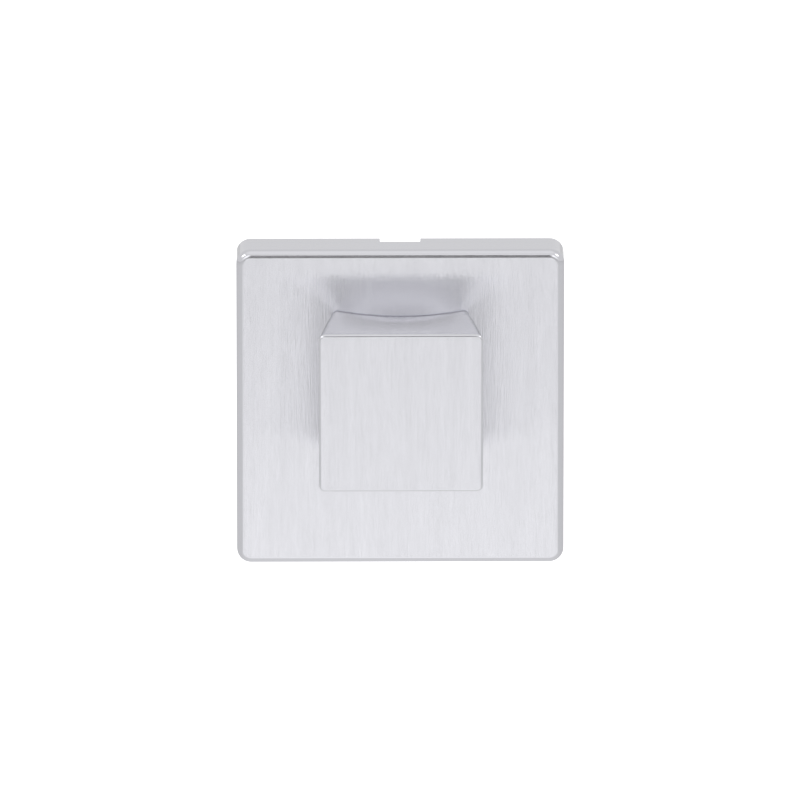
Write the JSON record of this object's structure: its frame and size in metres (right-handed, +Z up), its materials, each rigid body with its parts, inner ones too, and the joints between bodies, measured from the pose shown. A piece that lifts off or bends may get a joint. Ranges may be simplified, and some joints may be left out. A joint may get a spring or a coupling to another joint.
{
  "type": "privacy bolt turn on a square rose",
  "caption": "Square turn head set above its spindle on a square satin rose, with ribbed base, quarter-turn detent, square spindle, bolts and screws.",
  "frame": {"origin": "on the spindle axis, in the plane of the door face that the rose lies on", "axes": "+Y along the spindle into the door, the front looks along -Y, +Z up, +X to the right as seen from the front"},
  "size_m": [0.052, 0.0682, 0.052],
  "materials": {
    "rose_satin": "satin chrome, brushed up and down",
    "head_satin": "satin chrome, face brushed up and down, sides blasted",
    "base_moulding": "moulded nylon, fine grain",
    "bush_polymer": "natural acetal",
    "hub_casting": "die-cast zinc, turned journals",
    "zinc_plated_steel": "bright zinc plate",
    "drawn_steel": "cold-drawn bar",
    "spring_steel": "tempered spring strip",
    "hardened_steel": "black oxide"
  },
  "bodies": {
    "rose": {"rose_cover": "rose_satin", "inner_rose": "base_moulding", "bearing_bush": "bush_polymer", "retaining_plate": "zinc_plated_steel", "plate_screws": "zinc_plated_steel", "ring_spring": "spring_steel", "detent_leaf_upper": "spring_steel", "detent_leaf_lower": "spring_steel", "cover_clip_left": "spring_steel", "cover_clip_right": "spring_steel", "through_bolts": "zinc_plated_steel", "bolt_washers": "zinc_plated_steel", "wood_screws": "zinc_plated_steel"},
    "turn": {"turn_head": "head_satin", "grub_screw": "hardened_steel", "turn_hub": "hub_casting", "stop_pin": "hardened_steel", "spindle": "drawn_steel", "spindle_pin": "spring_steel", "spindle_sleeve": "drawn_steel"}
  },
  "joints": [
    {"name": "turn_quarter", "type": "hinge", "parent": "rose", "child": "turn", "pos_m": [0, 0, 0], "axis": [0, 1, 0], "range_deg": [0, 90], "deforming": ["detent_leaf_upper", "detent_leaf_lower"]}
  ]
}
